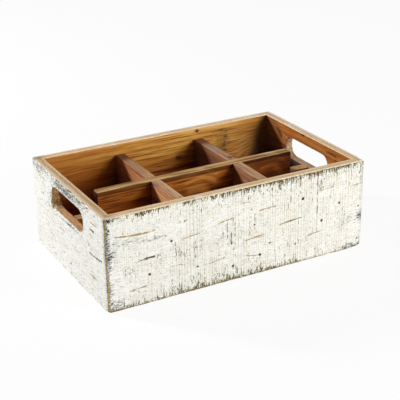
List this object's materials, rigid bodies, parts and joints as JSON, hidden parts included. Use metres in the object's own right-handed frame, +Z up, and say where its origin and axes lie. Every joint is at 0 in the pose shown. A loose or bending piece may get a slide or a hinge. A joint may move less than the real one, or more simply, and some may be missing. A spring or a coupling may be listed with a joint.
{
  "type": "condiment caddy",
  "caption": "Open wooden crate for condiments: worn white paint outside, stained wood inside, a hand slot in each end and loose halved dividers that lift out.",
  "frame": {"origin": "middle of the underside, on the surface that the caddy stands on", "axes": "+X along the length to the right, +Y from the front board to the back board, +Z up"},
  "size_m": [0.35, 0.22, 0.117],
  "materials": {
    "painted_wood": "worn off-white paint over sawn wood, bare on the rim and stained inside",
    "stained_wood": "dark amber stain, satin",
    "divider_wood": "brown stain, satin, sanded edges",
    "nail_steel": "dull dark steel"
  },
  "bodies": {
    "crate": {"front_board": "painted_wood", "back_board": "painted_wood", "left_end_board": "painted_wood", "right_end_board": "painted_wood", "base_panel": "stained_wood", "front_left_nails": "nail_steel", "front_right_nails": "nail_steel", "back_left_nails": "nail_steel", "back_right_nails": "nail_steel", "front_base_brads": "nail_steel", "back_base_brads": "nail_steel", "left_base_brads": "nail_steel", "right_base_brads": "nail_steel"},
    "left_cross": {"left_cross_divider": "divider_wood"},
    "right_cross": {"right_cross_divider": "divider_wood"},
    "long": {"long_divider": "divider_wood"}
  },
  "joints": [
    {"name": "left_cross_lift", "type": "slide", "parent": "crate", "child": "left_cross", "axis": [0, 0, 1], "range_m": [0, 0.12]},
    {"name": "right_cross_lift", "type": "slide", "parent": "crate", "child": "right_cross", "axis": [0, 0, 1], "range_m": [0, 0.12]},
    {"name": "long_divider_lift", "type": "slide", "parent": "left_cross", "child": "long", "axis": [0, 0, 1], "range_m": [0, 0.12]}
  ],
  "couplings": [
    {"joint": "right_cross_lift", "follows": "left_cross_lift", "ratio": 1}
  ]
}
